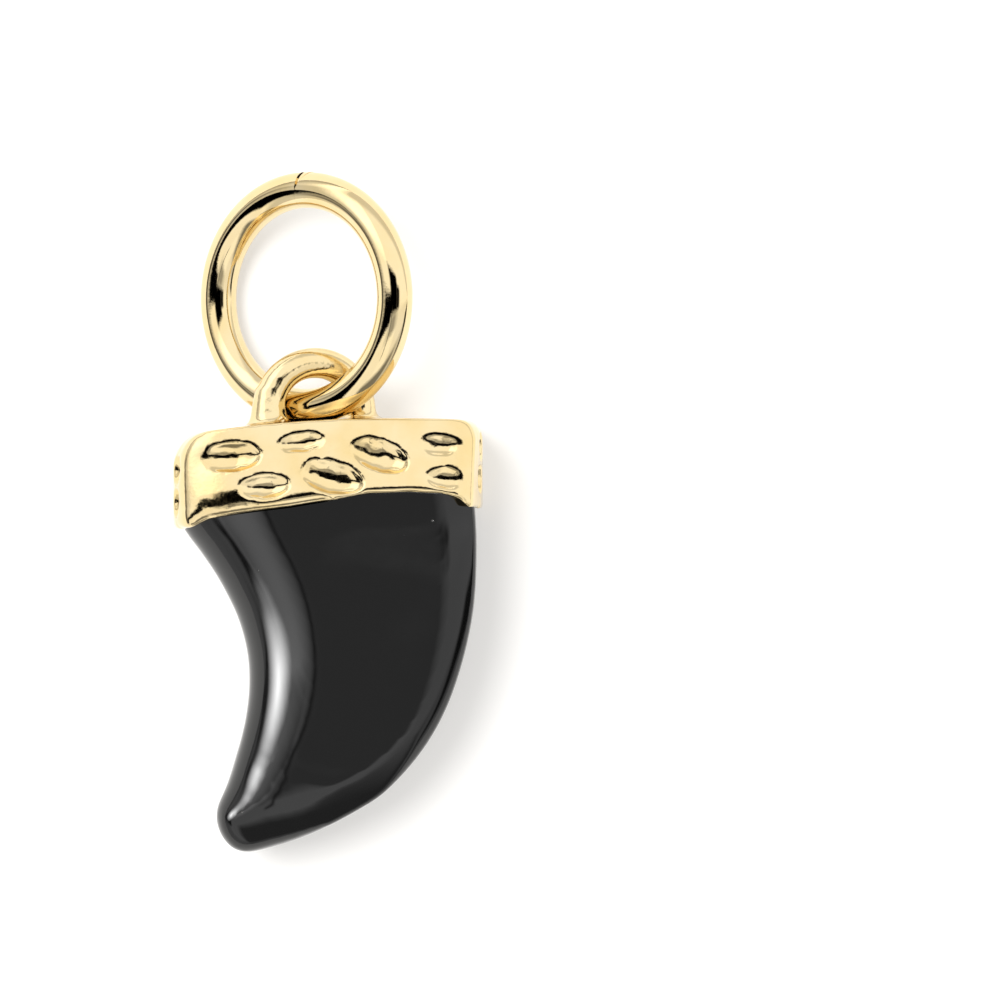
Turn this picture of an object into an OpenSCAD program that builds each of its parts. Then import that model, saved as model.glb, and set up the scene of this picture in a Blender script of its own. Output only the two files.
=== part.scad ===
// Fang pendant: a hammered cap with a loop, a claw coated in enamel and a jump ring.
// It lies on its back. X runs across the claw, Y up the pendant, Z out of its front.

/* [Jump ring] */
// Outside diameter of the jump ring
ring_od = 7; // [6.9:0.05:7.4]
// Thickness of the jump ring's wire
ring_wire = 1; // [0.85:0.01:1]
// How far the jump ring leans over on to its left side, in degrees
ring_lean = 35; // [35:0.5:39]
// Width of the cut where the wire's two ends meet
ring_cut = 0.05; // [0.03:0.01:0.3]

/* [Loop] */
// Outside diameter of the loop on the cap
loop_od = 3.48; // [3.46:0.02:3.7]
// Thickness of the loop's round section
loop_wire = 0.82; // [0.7:0.01:0.82]
// How far the loop is turned about the pendant's length, in degrees
loop_twist = 17; // [17:0.5:22]
// Height of the loop's centre above the top of the cap
loop_rise = 0.26; // [0.15:0.01:0.4]

/* [Cap] */
// Width of the cap at its widest, halfway through its thickness
cap_w = 8.58; // [8.4:0.02:9.4]
// Thickness of the cap from back to front
cap_thick = 4.5; // [4.3:0.05:4.8]
// How far the cap's left side bulges past its front and back faces
left_bulge = 0.52; // [0.1:0.02:0.6]
// How far the cap's right side bulges past its front and back faces
right_bulge = 0.36; // [0.1:0.02:0.6]
// Depth of the hammered dimples at their deepest
dimple_depth = 0.26; // [0.1:0.01:0.3]

/* [Claw] */
// Length of the claw below the origin of its outline, down to its tip
claw_len = 9.36; // [8:0.1:11]
// Width of the claw where it leaves the cap
claw_w = 8.08; // [7.6:0.02:8.1]
// How square the claw's section is: 2 is an ellipse, more is boxier
squareness = 2.7; // [2.2:0.1:3.4]
// Thickness of the enamel coat on the claw
coat = 0.35; // [0.2:0.01:0.5]
// Gap between each piece and the next
fit_gap = 0.03; // [0.02:0.005:0.05]

/* [Hidden] */
$fn = 96;
over = 1;

// Jump ring: it rests on the low side of its wire.
ring_r = (ring_od - ring_wire) / 2;
ring_z = ring_r * sin(ring_lean) + ring_wire / 2;
ring_cut_turn = 95;
ring_seat_gap = 0.06;

// Loop: the jump ring passes the middle of its hole, shifted to its left and a little above its centre.
loop_x = -0.36;
loop_r = (loop_od - loop_wire) / 2;
ring_shift = 0.24;
wire_rise = 0.12;
loop_z = ring_z + ring_shift * tan(ring_lean);

// Cap: its top is a shallow arch whose crown lies right of the middle.
cap_top = 2.6;
crown_x = 1.9;
crown_r = 38;
left_corner_r = 0.85;
right_corner_r = 0.5;
low_corner_r = 0.28;
soft_r = 0.2;
top_turn = 85;
low_turn_left = 65;
low_turn_right = 55;
corner_steps = 5;
low_steps = 3;
top_steps = 7;
side_steps = 8;
loop_y = arch_y(loop_x) + loop_rise;

// The cap's lower edge, where the enamel begins: columns x, y, from left to right.
edge_line = [
  [-4.80, -0.85],
  [-4.30, -0.63],
  [-3.99, -0.46],
  [-3.27, -0.17],
  [-2.24, 0.00],
  [-1.05, 0.14],
  [-0.08, 0.30],
  [0.70, 0.46],
  [1.11, 0.53],
  [2.27, 0.58],
  [3.16, 0.53],
  [3.76, 0.40],
  [4.05, 0.22],
  [4.30, -0.02],
  [4.80, -0.30],
];

// Hammered dimples on the front, and again on the back: columns x, y, length, width, tilt.
face_dimples = [
  [-2.66, 1.55, 1.80, 0.80, 3],
  [-0.71, 1.98, 1.33, 0.58, 8],
  [-1.74, 0.72, 1.40, 0.68, 3],
  [0.12, 1.02, 1.75, 0.88, -17],
  [1.40, 1.63, 1.75, 0.88, -22],
  [3.10, 1.94, 1.25, 0.60, -5],
  [3.22, 1.02, 1.20, 0.65, -5],
];

// Round dimples on the sides: columns side, y, height as a part of the thickness, width.
side_dimples = [
  [-1, 1.12, 0.66, 0.80],
  [-1, 0.22, 0.62, 0.70],
  [-1, 0.72, 0.30, 0.85],
  [1, 1.78, 0.62, 0.80],
  [1, 0.90, 0.68, 0.75],
  [1, 1.35, 0.30, 0.85],
];
side_depth = 0.65;

// Sections across the claw: the x and y of the left and right ends, drawn for a claw of drawn_w by
// drawn_len, and the heights of back and front as parts of the thickness.
LEFT_X = 0;
LEFT_Y = 1;
RIGHT_X = 2;
RIGHT_Y = 3;
BACK = 4;
FRONT = 5;
drawn_w = 8.08;
drawn_len = 9.36;
// The section that is sunk in the cap.
root_row = [-4.04, 1.10, 4.04, 1.10, 0.00, 0.95];
// The sections from the cap's edge to the tip.
claw_rows = [
  [-3.92, -0.58, 4.09, -0.12, 0.00, 0.95],
  [-3.58, -1.02, 4.12, -0.80, 0.00, 0.95],
  [-3.12, -1.68, 4.11, -1.60, 0.00, 0.95],
  [-2.76, -2.33, 4.06, -2.42, 0.00, 0.95],
  [-2.46, -3.00, 3.92, -3.35, 0.00, 0.94],
  [-2.23, -3.88, 3.65, -4.42, 0.00, 0.93],
  [-2.18, -4.80, 3.25, -5.50, 0.01, 0.91],
  [-2.28, -5.68, 2.72, -6.44, 0.03, 0.88],
  [-2.45, -6.40, 2.10, -7.22, 0.06, 0.84],
  [-2.63, -6.98, 1.38, -7.92, 0.10, 0.79],
  [-2.79, -7.46, 0.55, -8.55, 0.14, 0.74],
  [-2.92, -7.86, -0.60, -9.09, 0.19, 0.69],
  [-2.99, -8.15, -1.75, -9.39, 0.24, 0.64],
];
tip_start = 31;
sides = 36;
body_steps = 28;
tip_steps = 5;
tip_flat = 0.05;
inner_inset = coat + fit_gap;

// The box that holds everything is centred on the origin.
ring_y = loop_y + wire_rise + ring_r;
box_top = ring_y + ring_od / 2;
box_bottom = min([for (ring = claw_rings(0)) for (p = ring) p.y]);
box_mid_y = (box_top + box_bottom) / 2;

// Height of the cap's arched top at a place along its width.
function arch_y(x) = cap_top - (x - crown_x) * (x - crown_x) / (2 * crown_r);

// Height of the cap's lower edge at a place along its width.
function edge_y(x) = lookup(x, edge_line);

// Distance of a side of the cap from its middle, at a height through its thickness.
function side_x(z, bulge) = cap_w / 2 - bulge * pow(2 * z / cap_thick - 1, 2);

// Points of an arc about a centre.
function arc(centre, r, from, to, steps) =
  [for (i = [0:steps]) let (a = from + (to - from) * i / steps) centre + r * [cos(a), sin(a)]];

// A row between the given ones, on a smooth curve through them all.
function between(rows, s) =
  let (
    last = len(rows) - 1,
    i = min(floor(s), last - 1),
    f = s - i,
    a = rows[max(i - 1, 0)],
    b = rows[i],
    c = rows[i + 1],
    d = rows[min(i + 2, last)]
  )
  0.5 * (2 * b + (c - a) * f + (2 * a - 5 * b + 4 * c - d) * f * f + (3 * b - a - 3 * c + d) * f * f * f);

// One coordinate of the rounded section, from the cosine or sine of its angle.
function rounded(c) = sign(c) * pow(abs(c), 2 / squareness);

// One ring of points on the claw, inset from its surface. It is shrunk and moved along the claw for the tip.
function section(row, inset, shrink = 1, ahead = 0) =
  let (
    left = [row[LEFT_X] * claw_w / drawn_w, row[LEFT_Y] * claw_len / drawn_len],
    right = [row[RIGHT_X] * claw_w / drawn_w, row[RIGHT_Y] * claw_len / drawn_len],
    across = (right - left) / norm(right - left),
    half_w = norm(right - left) / 2 - inset,
    back = max(row[BACK], 0) * cap_thick,
    front = row[FRONT] * cap_thick,
    half_h = (front - back) / 2 - inset,
    middle = (front + back) / 2,
    centre = (left + right) / 2 + ahead * half_w * [across.y, -across.x]
  )
  [for (k = [0:sides - 1])
    let (
      a = 360 * k / sides,
      u = shrink * half_w * rounded(cos(a)),
      v = shrink * half_h * rounded(sin(a))
    )
    [centre.x + across.x * u, centre.y + across.y * u, middle + v]];

// All rings of the claw, from inside the cap to the tip, where they close in a dome.
function claw_rings(inset) =
  let (last = len(claw_rows) - 1)
  concat(
    [section(root_row, inset)],
    [for (i = [0:body_steps]) section(between(claw_rows, last * i / body_steps), inset)],
    [for (i = [1:tip_steps])
      let (phi = tip_start + (90 - tip_start) * i / tip_steps)
      section(
        claw_rows[last],
        inset,
        shrink = max(cos(phi), tip_flat) / cos(tip_start),
        ahead = (sin(phi) - sin(tip_start)) / cos(tip_start)
      )]
  );

// The same rings with the first one cut off along the cap's lower edge.
function cut_rings(rings) =
  concat(
    [[for (k = [0:sides - 1])
      let (
        top = rings[0][k],
        low = rings[1][k],
        y = edge_y(low.x) - fit_gap
      )
      low + (top - low) * (y - low.y) / (top.y - low.y)]],
    [for (i = [1:len(rings) - 1]) rings[i]]
  );

// Triangles between neighbouring rings, starting at a point number, facing out or in.
function wall_faces(count, start, outward) =
  [for (i = [0:count - 2]) for (k = [0:sides - 1])
    let (
      a = start + i * sides + k,
      b = start + i * sides + (k + 1) % sides,
      c = a + sides,
      d = b + sides
    )
    for (t = outward ? [[a, d, b], [a, c, d]] : [[a, b, d], [a, d, c]]) t];

// One flat face over a ring.
function end_face(start, forward) =
  [[for (k = [0:sides - 1]) start + (forward ? sides - 1 - k : k)]];

// Joins rings of points into one closed solid.
module loft(rings) {
  count = len(rings);
  polyhedron(
    points = [for (ring = rings) for (p = ring) p],
    faces = concat(
      wall_faces(count, 0, true),
      end_face(0, false),
      end_face((count - 1) * sides, true)
    )
  );
}

// The claw's enamel: an outer and an inner skin that meet along the cap's edge.
module coat_shell() {
  outer = cut_rings(claw_rings(0));
  inner = cut_rings(claw_rings(coat));
  count = len(outer);
  start = count * sides;
  polyhedron(
    points = concat([for (ring = outer) for (p = ring) p], [for (ring = inner) for (p = ring) p]),
    faces = concat(
      wall_faces(count, 0, true),
      end_face((count - 1) * sides, true),
      wall_faces(count, start, false),
      end_face(start + (count - 1) * sides, false),
      [for (k = [0:sides - 1])
        let (next = (k + 1) % sides)
        for (t = [[k, start + next, start + k], [k, next, start + next]]) t]
    )
  );
}

// Outline of the cap from the front.
module cap_outline() {
  half = cap_w / 2;
  left_x = -half + left_corner_r;
  right_x = half - right_corner_r;
  low_x = half - low_corner_r;
  polygon(concat(
    arc([-low_x, edge_y(-low_x) + low_corner_r], low_corner_r, 180, 180 + low_turn_left, low_steps),
    [for (row = edge_line) if (abs(row.x) < low_x) row],
    arc([low_x, edge_y(low_x) + low_corner_r], low_corner_r, -low_turn_right, 0, low_steps),
    arc([right_x, arch_y(right_x) - right_corner_r], right_corner_r, 0, top_turn, corner_steps),
    [for (i = [1:top_steps - 1]) let (x = right_x + (left_x - right_x) * i / top_steps) [x, arch_y(x)]],
    arc([left_x, arch_y(left_x) - left_corner_r], left_corner_r, 180 - top_turn, 180, corner_steps + 1)
  ));
}

// One side of the cap seen from its end, from the table up, with a bulged wall between soft edges.
function end_side(bulge) =
  let (
    top = cap_thick - soft_r,
    x = side_x(top, bulge) - soft_r
  )
  concat(
    arc([x, soft_r], soft_r, -90, 0, low_steps),
    [for (i = [1:side_steps - 1]) let (z = soft_r + (top - soft_r) * i / side_steps) [side_x(z, bulge), z]],
    arc([x, top], soft_r, 0, 90, low_steps)
  );

// Outline of the cap from its end.
module cap_section() {
  right = end_side(right_bulge);
  left = end_side(left_bulge);
  polygon(concat(right, [for (i = [len(left) - 1:-1:0]) [-left[i].x, left[i].y]]));
}

// Body of the cap before it is hammered.
module cap_body() {
  intersection() {
    translate([0, 0, -over]) linear_extrude(cap_thick + 2 * over) cap_outline();
    translate([0, cap_top + over, 0]) rotate([90, 0, 0]) linear_extrude(2 * cap_top + 2 * over) cap_section();
  }
}

// Spindle that presses one dimple into the face z = 0, lying along X.
module dimple(length, width) {
  tool_r = (width * width / 4 + dimple_depth * dimple_depth) / (2 * dimple_depth);
  curve_r = (length * length / 4 + dimple_depth * dimple_depth) / (2 * dimple_depth);
  reach = 2 * length;
  translate([0, 0, tool_r - dimple_depth]) rotate([0, -90, 0]) rotate_extrude() intersection() {
    translate([tool_r - curve_r, 0]) circle(curve_r);
    translate([0, -reach / 2]) square([tool_r * 2, reach]);
  }
}

// Every dimple on the cap.
module dimples() {
  for (row = face_dimples) {
    translate([row[0], row[1], cap_thick]) rotate([0, 0, row[4]]) dimple(row[2], row[3]);
    translate([row[0], row[1], 0]) mirror([0, 0, 1]) rotate([0, 0, row[4]]) dimple(row[2], row[3]);
  }
  for (row = side_dimples) {
    z = row[2] * cap_thick;
    bulge = row[0] < 0 ? left_bulge : right_bulge;
    depth = side_depth * dimple_depth;
    r = (row[3] * row[3] / 4 + depth * depth) / (2 * depth);
    translate([row[0] * (side_x(z, bulge) + r - depth), row[1], z]) sphere(r);
  }
}

// Round wire bent to a circle, with an optional cut in it.
module wire_ring(r, wire, cut = 0) {
  gap_turn = cut / r * 180 / PI;
  rotate([0, 0, gap_turn / 2]) rotate_extrude(angle = 360 - gap_turn) translate([r, 0]) circle(d = wire, $fn = 48);
}

// Puts a piece where the jump ring lies.
module at_ring() {
  translate([loop_x - ring_shift, ring_y, ring_z]) rotate([0, -ring_lean, 0]) children();
}

module cap_casting() {
  color("#e8c77a") translate([0, -box_mid_y, 0]) {
    difference() {
      cap_body();
      dimples();
      at_ring() wire_ring(ring_r, ring_wire + 2 * ring_seat_gap);
    }
    translate([loop_x, loop_y, loop_z]) rotate([0, loop_twist, 0]) wire_ring(loop_r, loop_wire);
    loft(claw_rings(inner_inset));
  }
}

module enamel_fang() {
  color("#17171a") translate([0, -box_mid_y, 0]) coat_shell();
}

module jump_ring() {
  color("#e8c77a") translate([0, -box_mid_y, 0]) at_ring() rotate([0, 0, ring_cut_turn])
    wire_ring(ring_r, ring_wire, ring_cut);
}

cap_casting();
enamel_fang();
jump_ring();
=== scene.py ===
# %% [markdown]
# # Fang pendant
# A small charm in three pieces: a gold-plated casting with a hammered cap and a loop, a claw in black
# enamel, and a jump ring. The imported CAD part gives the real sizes. Here the three pieces are modelled
# again as one would by hand, with softer edges and dents, and get their materials and light.

import math

import bpy
import mathutils
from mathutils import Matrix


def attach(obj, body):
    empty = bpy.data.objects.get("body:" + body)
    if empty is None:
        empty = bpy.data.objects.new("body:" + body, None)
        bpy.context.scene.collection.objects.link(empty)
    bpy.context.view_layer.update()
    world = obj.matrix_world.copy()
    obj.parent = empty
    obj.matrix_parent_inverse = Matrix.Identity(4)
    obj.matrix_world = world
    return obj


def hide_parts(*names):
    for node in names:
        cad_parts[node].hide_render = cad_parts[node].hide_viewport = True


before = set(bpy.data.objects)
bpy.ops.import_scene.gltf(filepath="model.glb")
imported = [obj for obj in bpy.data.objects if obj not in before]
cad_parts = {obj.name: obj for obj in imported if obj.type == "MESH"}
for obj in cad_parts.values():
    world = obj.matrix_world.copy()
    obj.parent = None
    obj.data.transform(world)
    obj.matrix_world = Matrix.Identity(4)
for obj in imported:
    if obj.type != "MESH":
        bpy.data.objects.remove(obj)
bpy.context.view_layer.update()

# %% [markdown]
# ## Camera
# The pendant lies on its back and is seen from straight above. A macro lens far away shows hardly any
# perspective. A parallel camera would show none at all, so a long lens is used. The view is 27.7 mm wide
# at 2 mm above the table, and the pendant lies left of its middle.

# %% Place the camera
MM = 0.001
SENSOR_WIDTH = 36
VIEW_WIDTH = 27.68
VIEW_LEVEL = 2
VIEW_CENTRE = (4.76, 0.333)
CAMERA_HEIGHT = 400

bpy.ops.object.camera_add(location=(VIEW_CENTRE[0] * MM, VIEW_CENTRE[1] * MM, CAMERA_HEIGHT * MM))
camera = bpy.context.object
camera.data.sensor_width = SENSOR_WIDTH
camera.data.lens = SENSOR_WIDTH * (CAMERA_HEIGHT - VIEW_LEVEL) / VIEW_WIDTH
camera.data.clip_start = 0.005
bpy.context.scene.camera = camera
print("lens in mm:", round(camera.data.lens))

# %% [markdown]
# ## Small helpers
# All sizes are in millimetres, in the frame of the CAD part: X across the claw, Y up the pendant and Z up
# from the table. Every piece starts from a primitive and is shaped in edit mode, and it is scaled to
# metres when it is done. Each helper does one thing that is done again and again: start with nothing
# selected, pick vertices by their place, apply a modifier.

# %% Helpers that select
def deselect():
    """Leaves edit mode with nothing selected."""
    if bpy.context.object and bpy.context.object.mode != "OBJECT":
        bpy.ops.object.mode_set(mode="OBJECT")
    bpy.ops.object.select_all(action="DESELECT")


def select_only(*objects):
    """Selects these objects. The first becomes the active one."""
    deselect()
    for o in objects:
        o.select_set(True)
    bpy.context.view_layer.objects.active = objects[0]


def pick(o, test):
    """Selects the vertices that pass a test, stays in edit mode with them and returns their number."""
    if o.mode != "EDIT":
        bpy.ops.object.mode_set(mode="EDIT")
    bpy.ops.mesh.select_mode(type="VERT")
    bpy.ops.mesh.select_all(action="DESELECT")
    bpy.ops.object.mode_set(mode="OBJECT")
    count = 0
    for v in o.data.vertices:
        v.select = bool(test(v.co))
        count += v.select
    bpy.ops.object.mode_set(mode="EDIT")
    bpy.ops.mesh.select_mode(type="VERT")
    return count


# %% Helpers that change a mesh
def modify(o, kind, **settings):
    """Adds one modifier and applies it."""
    select_only(o)
    m = o.modifiers.new(kind.title(), kind)
    for key, value in settings.items():
        setattr(m, key, value)
    bpy.ops.object.modifier_apply(modifier=m.name)


def apply_place(o):
    """Moves an object's place, turn and scale into its vertices."""
    select_only(o)
    bpy.ops.object.transform_apply(location=True, rotation=True, scale=True)


def tidy_mesh(o, merge=1e-5):
    """Merges vertices that coincide and turns all faces outwards."""
    select_only(o)
    bpy.ops.object.mode_set(mode="EDIT")
    bpy.ops.mesh.select_all(action="SELECT")
    bpy.ops.mesh.remove_doubles(threshold=merge)
    bpy.ops.mesh.normals_make_consistent(inside=False)
    bpy.ops.object.mode_set(mode="OBJECT")


def cut_away(o, tool):
    """Cuts a tool out of a piece and removes the tool."""
    modify(o, "BOOLEAN", operation="DIFFERENCE", object=tool, solver="EXACT")
    bpy.data.objects.remove(tool)


def clouds(name, size, depth=2):
    """A procedural texture for dents. Its size is in millimetres while a piece is being modelled."""
    t = bpy.data.textures.new(name, "CLOUDS")
    t.noise_scale = size
    t.noise_depth = depth
    return t


def roughen(o, texture, strength, mid_level=0.5):
    """Moves the surface in and out by a texture. A high mid_level moves it mostly inwards."""
    modify(
        o, "DISPLACE", texture=texture, strength=strength, mid_level=mid_level, texture_coords="LOCAL"
    )


def pull(move, reach):
    """Moves the picked vertices, and those within reach of them by less and less."""
    bpy.ops.transform.translate(
        value=move,
        use_proportional_edit=True,
        proportional_edit_falloff="SMOOTH",
        proportional_size=reach,
    )


print("textures before modelling:", len(bpy.data.textures))

# %% A helper that finishes a piece
def finish_piece(o, name, body, cad_node, smooth_angle=50):
    """Turns millimetres into metres, shades the piece smooth and gives it its place in the frame."""
    o.name = o.data.name = name
    select_only(o)
    o.scale = (MM, MM, MM)
    bpy.ops.object.transform_apply(location=True, rotation=True, scale=True)
    bpy.ops.object.shade_smooth_by_angle(angle=math.radians(smooth_angle))
    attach(o, body)
    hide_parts(cad_node)
    o.data.calc_loop_triangles()
    print(name, "triangles:", len(o.data.loop_triangles))
    return o


print("CAD nodes to replace:", sorted(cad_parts))

# %% [markdown]
# ## Jump ring
# A jump ring is a piece of round wire bent once around a rod. A torus has that shape but no ends, so a
# circle is spun instead. The spin stops just short of a full turn, and that leaves the hairline where
# the two ends meet.

# %% Spin the wire
RING_R = 3.0
RING_WIRE_R = 0.5
RING_CUT = 0.004
RING_STEPS = 240

deselect()
bpy.ops.mesh.primitive_circle_add(
    vertices=40, radius=RING_WIRE_R, fill_type="NGON",
    location=(RING_R, 0, 0), rotation=(math.pi / 2, 0, 0),
)
ring = bpy.context.object
apply_place(ring)
bpy.ops.object.mode_set(mode="EDIT")
bpy.ops.mesh.select_all(action="SELECT")
ring_arc = 2 * math.pi - RING_CUT / RING_R
bpy.ops.mesh.spin(steps=RING_STEPS, angle=ring_arc, center=(0, 0, 0), axis=(0, 0, 1))
bpy.ops.mesh.select_all(action="SELECT")
bpy.ops.mesh.normals_make_consistent(inside=False)
print("the wire is bent through", round(math.degrees(ring_arc), 2), "degrees")

# %% [markdown]
# Pliers cut wire at a slant. A slanted cut could be made with a boolean, but the gap is far thinner than
# a tool. So the last rounds of vertices at both ends are turned, each a little more than the one before,
# and widened by as much, so that the wire stays round.

# %% Slant the two ends
CUT_SLANT = 32
SLANTED_ROUNDS = 10
SAME_ROUND = 1e-3

for step in (-1, 1):
    for k in range(SLANTED_ROUNDS):
        turn = k * ring_arc / RING_STEPS
        if step < 0:
            turn = -(RING_CUT / RING_R + turn)
        centre = (RING_R * math.cos(turn), RING_R * math.sin(turn), 0)
        along_wire = mathutils.Vector((-math.sin(turn), math.cos(turn), 0))
        pick(ring, lambda p: p.x > 0 and abs(p.dot(along_wire)) < SAME_ROUND)
        slant = math.radians(CUT_SLANT) * (1 - k / SLANTED_ROUNDS) ** 2
        bpy.ops.transform.rotate(value=slant, orient_axis="Z", center_override=centre)
        bpy.ops.transform.resize(value=(1 / math.cos(slant), 1, 1), center_override=centre)
bpy.ops.object.mode_set(mode="OBJECT")
print("rounds turned at the two ends:", 2 * SLANTED_ROUNDS)

# %% [markdown]
# The ring lies loose in the loop and leans to one side. It is turned first, so that its cut comes to the
# end away from the claw, then leaned, and then moved to its place.

# %% Turn and lean the ring
RING_CUT_TURN = 91
RING_LEAN = -35
RING_CENTRE = (-0.60, 5.911, 2.221)

ring.rotation_euler = (0, 0, math.radians(RING_CUT_TURN))
apply_place(ring)
ring.rotation_euler = (0, math.radians(RING_LEAN), 0)
ring.location = RING_CENTRE
apply_place(ring)
finish_piece(ring, "plated_jump_ring", "root", "jump_ring")

# %% [markdown]
# ## Cap
# The cap is a thick cast plate with an arched top and a wavy lower edge. It could be a traced curve that
# is extruded, but then its faces have no rows of vertices that can be shaped later. So it starts as a
# cube that is bisected into slices, and each slice's top and bottom are moved to their heights. The same
# slab, larger, cuts the claw's upper end later, so that the two fit.

# %% Outline of the cap
CAP_HALF = 4.29
THICK = 4.5
ARCH_TOP = 2.6
ARCH_TOP_X = 1.9
ARCH_R = 38

# The cap's lower edge, where the enamel begins: x, y.
EDGE_LINE = [
    (-4.80, -0.85),
    (-4.30, -0.63),
    (-3.99, -0.46),
    (-3.27, -0.17),
    (-2.24, 0.00),
    (-1.05, 0.14),
    (-0.08, 0.30),
    (0.70, 0.46),
    (1.11, 0.53),
    (2.27, 0.58),
    (3.16, 0.53),
    (3.76, 0.40),
    (4.05, 0.22),
    (4.30, -0.02),
    (4.80, -0.30),
]


def top_of_cap(x):
    """Height of the cap's arched top."""
    return ARCH_TOP - (x - ARCH_TOP_X) ** 2 / (2 * ARCH_R)


def edge_of_cap(x):
    """Height of the cap's lower edge."""
    for (x0, y0), (x1, y1) in zip(EDGE_LINE, EDGE_LINE[1:]):
        if x <= x1:
            return y0 + (y1 - y0) * (x - x0) / (x1 - x0)
    return EDGE_LINE[-1][1]


print("cap at its middle, from", round(edge_of_cap(0), 2), "to", round(top_of_cap(0), 2), "mm")

# %% Slice a slab
# The lower and upper side of the cube before it is shaped, and the middle between them.
SLAB_LOW = -0.3
SLAB_HIGH = 2.7
SLAB_MIDDLE = 1.2
# How near a vertex is to a plane, or to a slice, when it lies in it.
ON_PLANE = 1e-3
SAME_X = 6e-4

# Where the slab is sliced: close together near its ends, where the face rolls back.
SLICES = [
    -4.29, -4.17, -4.05, -3.93, -3.81, -3.69, -3.57, -3.45, -3.33, -3.21, -3.09, -2.97,
    -2.80, -2.62, -2.45, -1.95, -1.5, -1.05, -0.55, -0.08, 0.35, 0.70, 1.11, 1.70,
    2.27, 2.80, 3.16, 3.34, 3.50, 3.64, 3.77, 3.90, 4.03, 4.16, 4.29,
]


def bevel_at(o, test, width, segments):
    """Bevels the edges whose two ends pass a test."""
    pick(o, test)
    bpy.ops.mesh.select_mode(type="EDGE")
    bpy.ops.mesh.bevel(offset=width, offset_type="OFFSET", segments=segments, affect="EDGES")


def slab(name, drop=0.0, grow=0.0, corners=()):
    """A cube in slices that follow the cap's top and lower edge. drop moves the lower edge down."""
    deselect()
    half = CAP_HALF + grow
    bpy.ops.mesh.primitive_cube_add(size=1, location=(0, SLAB_MIDDLE, THICK / 2))
    o = bpy.context.object
    o.name = name
    o.scale = (2 * half, SLAB_HIGH - SLAB_LOW, THICK + 2 * grow)
    apply_place(o)
    for side, upper, width, segments in corners:
        bevel_at(
            o, lambda p: p.x * side > half - ON_PLANE and (p.y > SLAB_MIDDLE) == upper, width, segments
        )
    if o.mode != "EDIT":
        bpy.ops.object.mode_set(mode="EDIT")
    for x in SLICES[1:-1]:
        bpy.ops.mesh.select_all(action="SELECT")
        bpy.ops.mesh.bisect(plane_co=(x, 0, 0), plane_no=(1, 0, 0))
    bpy.ops.object.mode_set(mode="OBJECT")
    for x in sorted({round(v.co.x, 3) for v in o.data.vertices}):
        pick(o, lambda p: abs(p.x - x) < SAME_X and p.y < SLAB_MIDDLE)
        bpy.ops.transform.translate(value=(0, edge_of_cap(x) - drop - SLAB_LOW, 0))
        pick(o, lambda p: abs(p.x - x) < SAME_X and p.y > SLAB_MIDDLE)
        bpy.ops.transform.translate(value=(0, top_of_cap(x) + 2 * grow - SLAB_HIGH, 0))
    bpy.ops.object.mode_set(mode="OBJECT")
    return o


print("slices of the slab:", len(SLICES) - 1)

# %% [markdown]
# The four corners that are seen from the front are rounded first, while the slab is still a plain block.
# A bevel on a block is even, and on a shaped slab it would run askew.

# %% Make the cap's slab
# Its corners: side, whether it is an upper one, radius, segments.
CORNERS = [(-1, True, 0.80, 8), (1, True, 0.48, 6), (-1, False, 0.40, 5), (1, False, 0.22, 4)]
# The cap and the tool that cuts the claw have their lower edge this much below EDGE_LINE.
EDGE_DROP = 0.03

cap = slab("cap", drop=EDGE_DROP, corners=CORNERS)
print("slab:", [round(v, 3) for v in cap.dimensions])

# %% [markdown]
# Polishing leaves a broad, soft lip along the lower front edge on the left, a narrow one on the right and
# a small rounding along the top. A bevel does this evenly, and each stretch gets its own width.

# %% Soften the front edges
NEAR_EDGE = 0.02
LIP_MERGE = 0.003


def lower_front(p):
    """Whether a point is on the lower edge of the front."""
    return p.z > THICK - ON_PLANE and p.y < edge_of_cap(p.x) + NEAR_EDGE


def upper_front(p):
    """Whether a point is on the upper edge of the front."""
    return p.z > THICK - ON_PLANE and p.y > top_of_cap(p.x) - NEAR_EDGE


# The softened edges: which one, from x, to x, width, segments.
LIPS = [
    (lower_front, -4.03, -0.07, 0.26, 5),
    (lower_front, 0.34, 4.03, 0.10, 3),
    (upper_front, -3.5, 3.8, 0.13, 3),
]

for on_edge, x_from, x_to, width, segments in LIPS:
    bevel_at(cap, lambda p: on_edge(p) and x_from < p.x < x_to, width, segments)
tidy_mesh(cap, LIP_MERGE)
print("faces with the lips:", len(cap.data.polygons))

# %% [markdown]
# The front face rolls back at its two ends and slopes down a little towards the loop. The slab is
# bisected across its thickness first, so that there are rows to move. Then all that is above a level is
# squeezed towards it, more where the face lies lower.

# %% Roll and slope the front face
LEVELS = [0.02, 0.08, 0.18, 0.3, 0.42, 0.5, 0.58, 0.7, 0.82, 0.92, 0.98]
ROLL_FROM = 3.2
FACE_SLOPE = 0.40
# Where the roll begins on the left and on the right, and how deep it is at the ends.
ROLL_LEFT_X = -2.45
ROLL_RIGHT_X = 3.3
ROLL_LEFT = 0.42
ROLL_RIGHT = 0.16
LEAST_ROLL = 0.001


def roll_of_face(x):
    """How far the cap's front face falls back at its ends."""
    left = max(0.0, (ROLL_LEFT_X - x) / (CAP_HALF + ROLL_LEFT_X))
    right = max(0.0, (x - ROLL_RIGHT_X) / (CAP_HALF - ROLL_RIGHT_X))
    return ROLL_LEFT * left**1.5 + ROLL_RIGHT * right**2


def squeeze_to_level(x, fall):
    """Squeezes what is picked above ROLL_FROM, so that its top falls by that much."""
    share = 1 - fall / (THICK - ROLL_FROM)
    bpy.ops.transform.resize(value=(1, 1, share), center_override=(x, 0, ROLL_FROM))


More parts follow.
